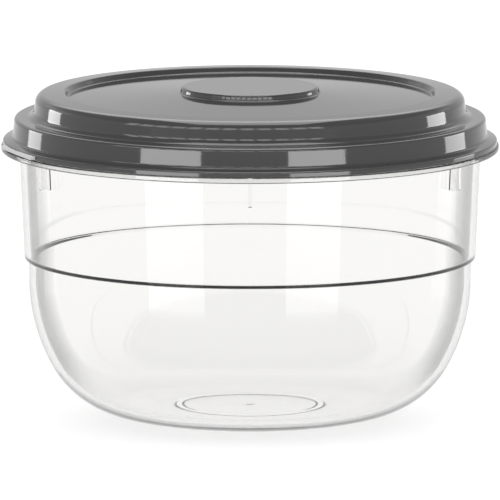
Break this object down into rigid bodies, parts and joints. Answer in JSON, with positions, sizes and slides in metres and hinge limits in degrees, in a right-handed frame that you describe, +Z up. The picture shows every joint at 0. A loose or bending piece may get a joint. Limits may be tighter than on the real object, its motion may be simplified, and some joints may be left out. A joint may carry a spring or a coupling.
{
  "type": "dough proofing container",
  "caption": "Round clear bowl with a stepped wall and ribbed flange, closed by a dark two-tier push-on lid with a lift tab, for proofing dough or storing food.",
  "frame": {"origin": "centre of the foot ring on the underside of the bowl, on the table", "axes": "+Z up along the axis of bowl and lid, -Y towards the front, where one of the short ribs faces"},
  "size_m": [0.2416, 0.2416, 0.1634],
  "materials": {
    "clear_plastic": "clear moulded plastic, polished inside and out",
    "dark_plastic": "glossy dark grey moulded plastic"
  },
  "bodies": {
    "bowl": {"bowl": "clear_plastic"},
    "lid": {"lid": "dark_plastic"}
  },
  "joints": [
    {"name": "lid_lift", "type": "slide", "parent": "bowl", "child": "lid", "axis": [0, 0, 1], "range_m": [0, 0.06]}
  ]
}
